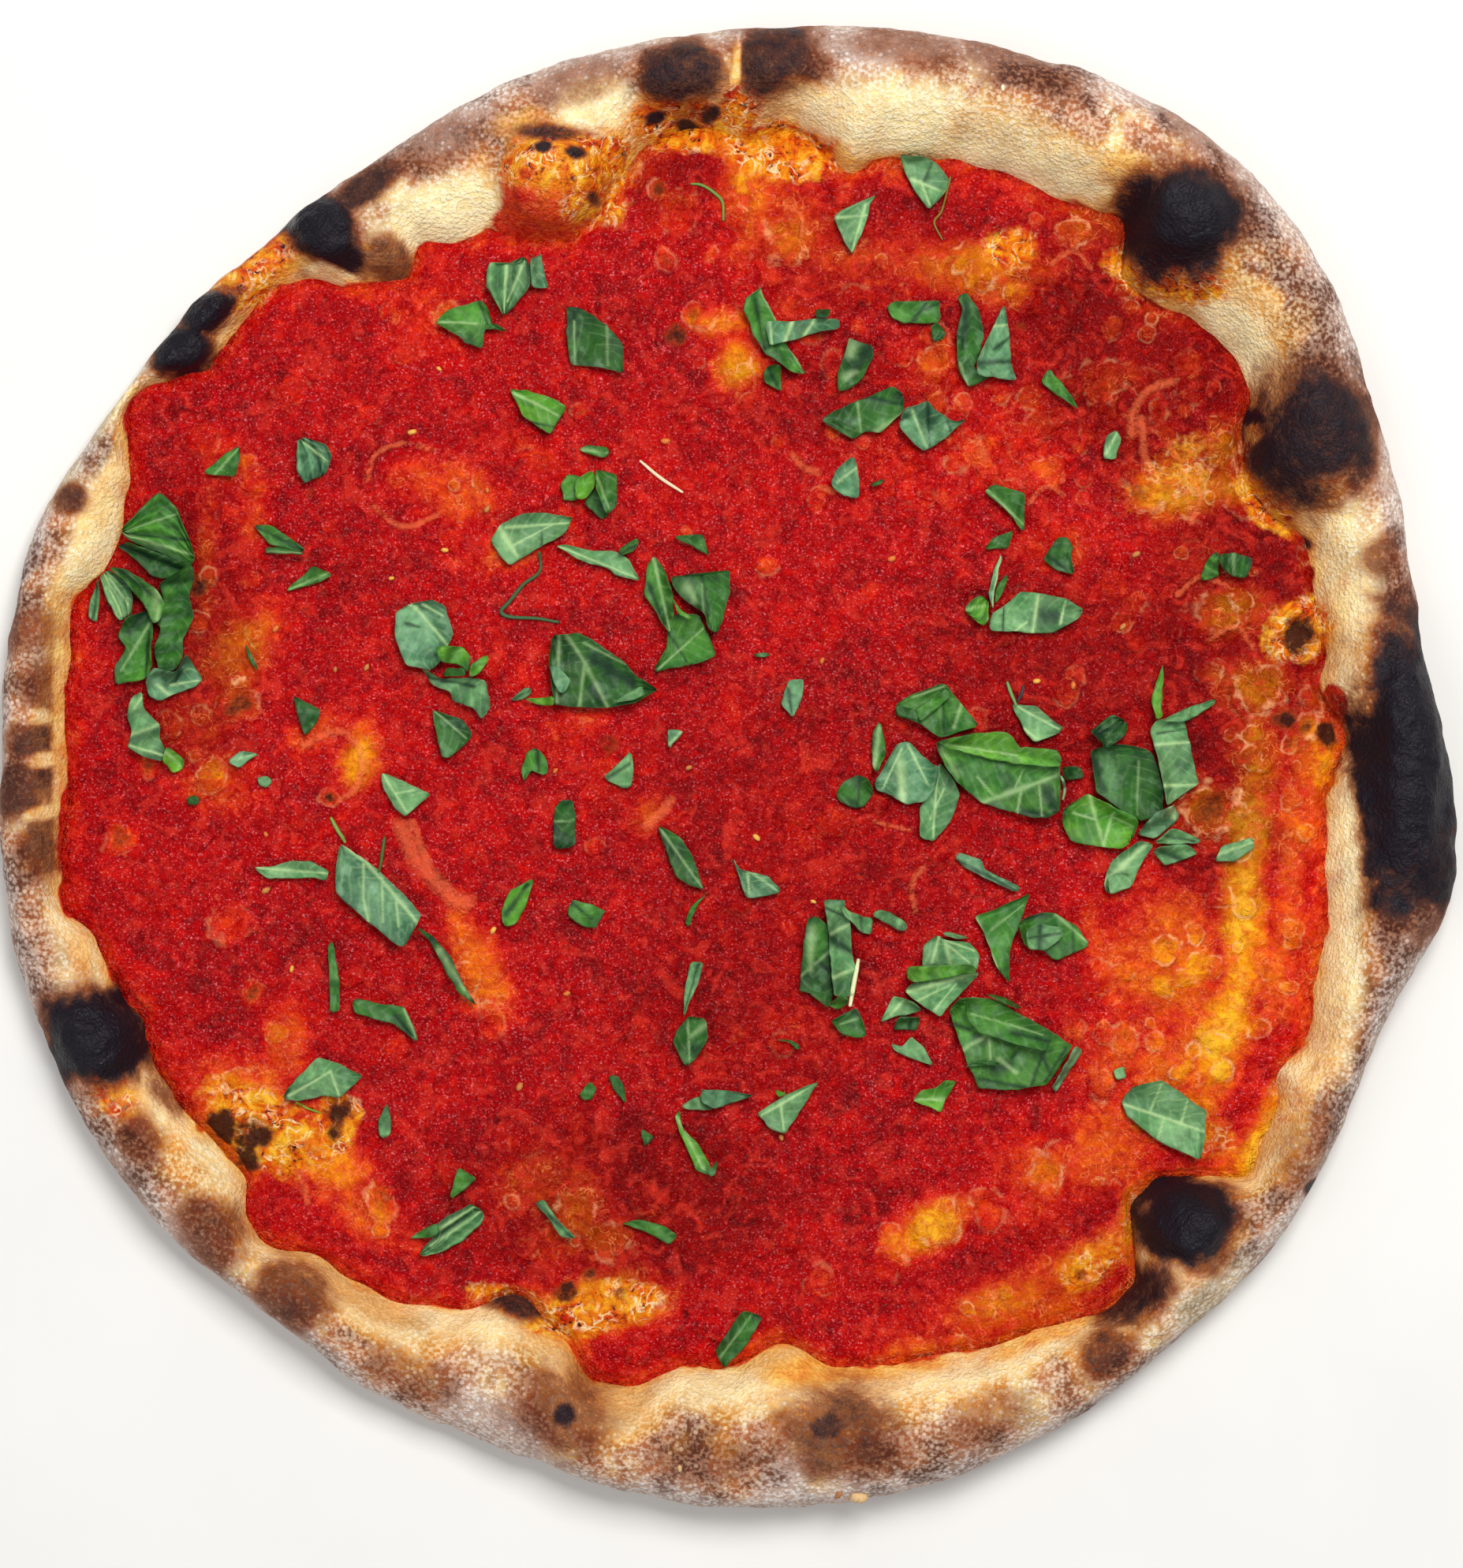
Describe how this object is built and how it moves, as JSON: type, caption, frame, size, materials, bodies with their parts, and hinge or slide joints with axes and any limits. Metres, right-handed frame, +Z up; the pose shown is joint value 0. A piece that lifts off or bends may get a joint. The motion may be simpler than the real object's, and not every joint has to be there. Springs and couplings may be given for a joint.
{
  "type": "tomato pizza",
  "caption": "Baked round pizza with a puffed charred rim, tomato sauce and torn basil leaves.",
  "frame": {"origin": "on the flat underside, below the middle of the outline's box", "axes": "+Z up through the toppings, +Y towards the top of the picture, +X to its right"},
  "size_m": [0.3208, 0.3268, 0.0245],
  "materials": {
    "baked_crust": "matte",
    "tomato_sauce": "gloss",
    "basil_leaf": "satin"
  },
  "bodies": {
    "root": {"crust": "baked_crust", "tomato_sauce": "tomato_sauce", "basil_01": "basil_leaf", "basil_02": "basil_leaf", "basil_03": "basil_leaf", "basil_04": "basil_leaf", "basil_05": "basil_leaf", "basil_06": "basil_leaf", "basil_07": "basil_leaf", "basil_08": "basil_leaf", "basil_09": "basil_leaf", "basil_10": "basil_leaf", "basil_11": "basil_leaf", "basil_12": "basil_leaf", "basil_13": "basil_leaf", "basil_14": "basil_leaf", "basil_15": "basil_leaf", "basil_16": "basil_leaf", "basil_17": "basil_leaf", "basil_18": "basil_leaf", "basil_19": "basil_leaf", "basil_20": "basil_leaf", "basil_21": "basil_leaf", "basil_22": "basil_leaf", "basil_23": "basil_leaf", "basil_24": "basil_leaf", "basil_25": "basil_leaf", "basil_26": "basil_leaf", "basil_27": "basil_leaf", "basil_28": "basil_leaf", "basil_29": "basil_leaf", "basil_30": "basil_leaf", "basil_31": "basil_leaf", "basil_32": "basil_leaf", "basil_33": "basil_leaf", "basil_34": "basil_leaf", "basil_35": "basil_leaf", "basil_36": "basil_leaf", "basil_37": "basil_leaf", "basil_38": "basil_leaf", "basil_39": "basil_leaf", "basil_40": "basil_leaf", "basil_41": "basil_leaf", "basil_42": "basil_leaf", "basil_43": "basil_leaf", "basil_44": "basil_leaf", "basil_45": "basil_leaf", "basil_46": "basil_leaf", "basil_47": "basil_leaf", "basil_48": "basil_leaf", "basil_49": "basil_leaf", "basil_50": "basil_leaf", "basil_51": "basil_leaf", "basil_52": "basil_leaf", "basil_53": "basil_leaf", "basil_54": "basil_leaf", "basil_55": "basil_leaf", "basil_56": "basil_leaf", "basil_57": "basil_leaf"}
  },
  "joints": []
}
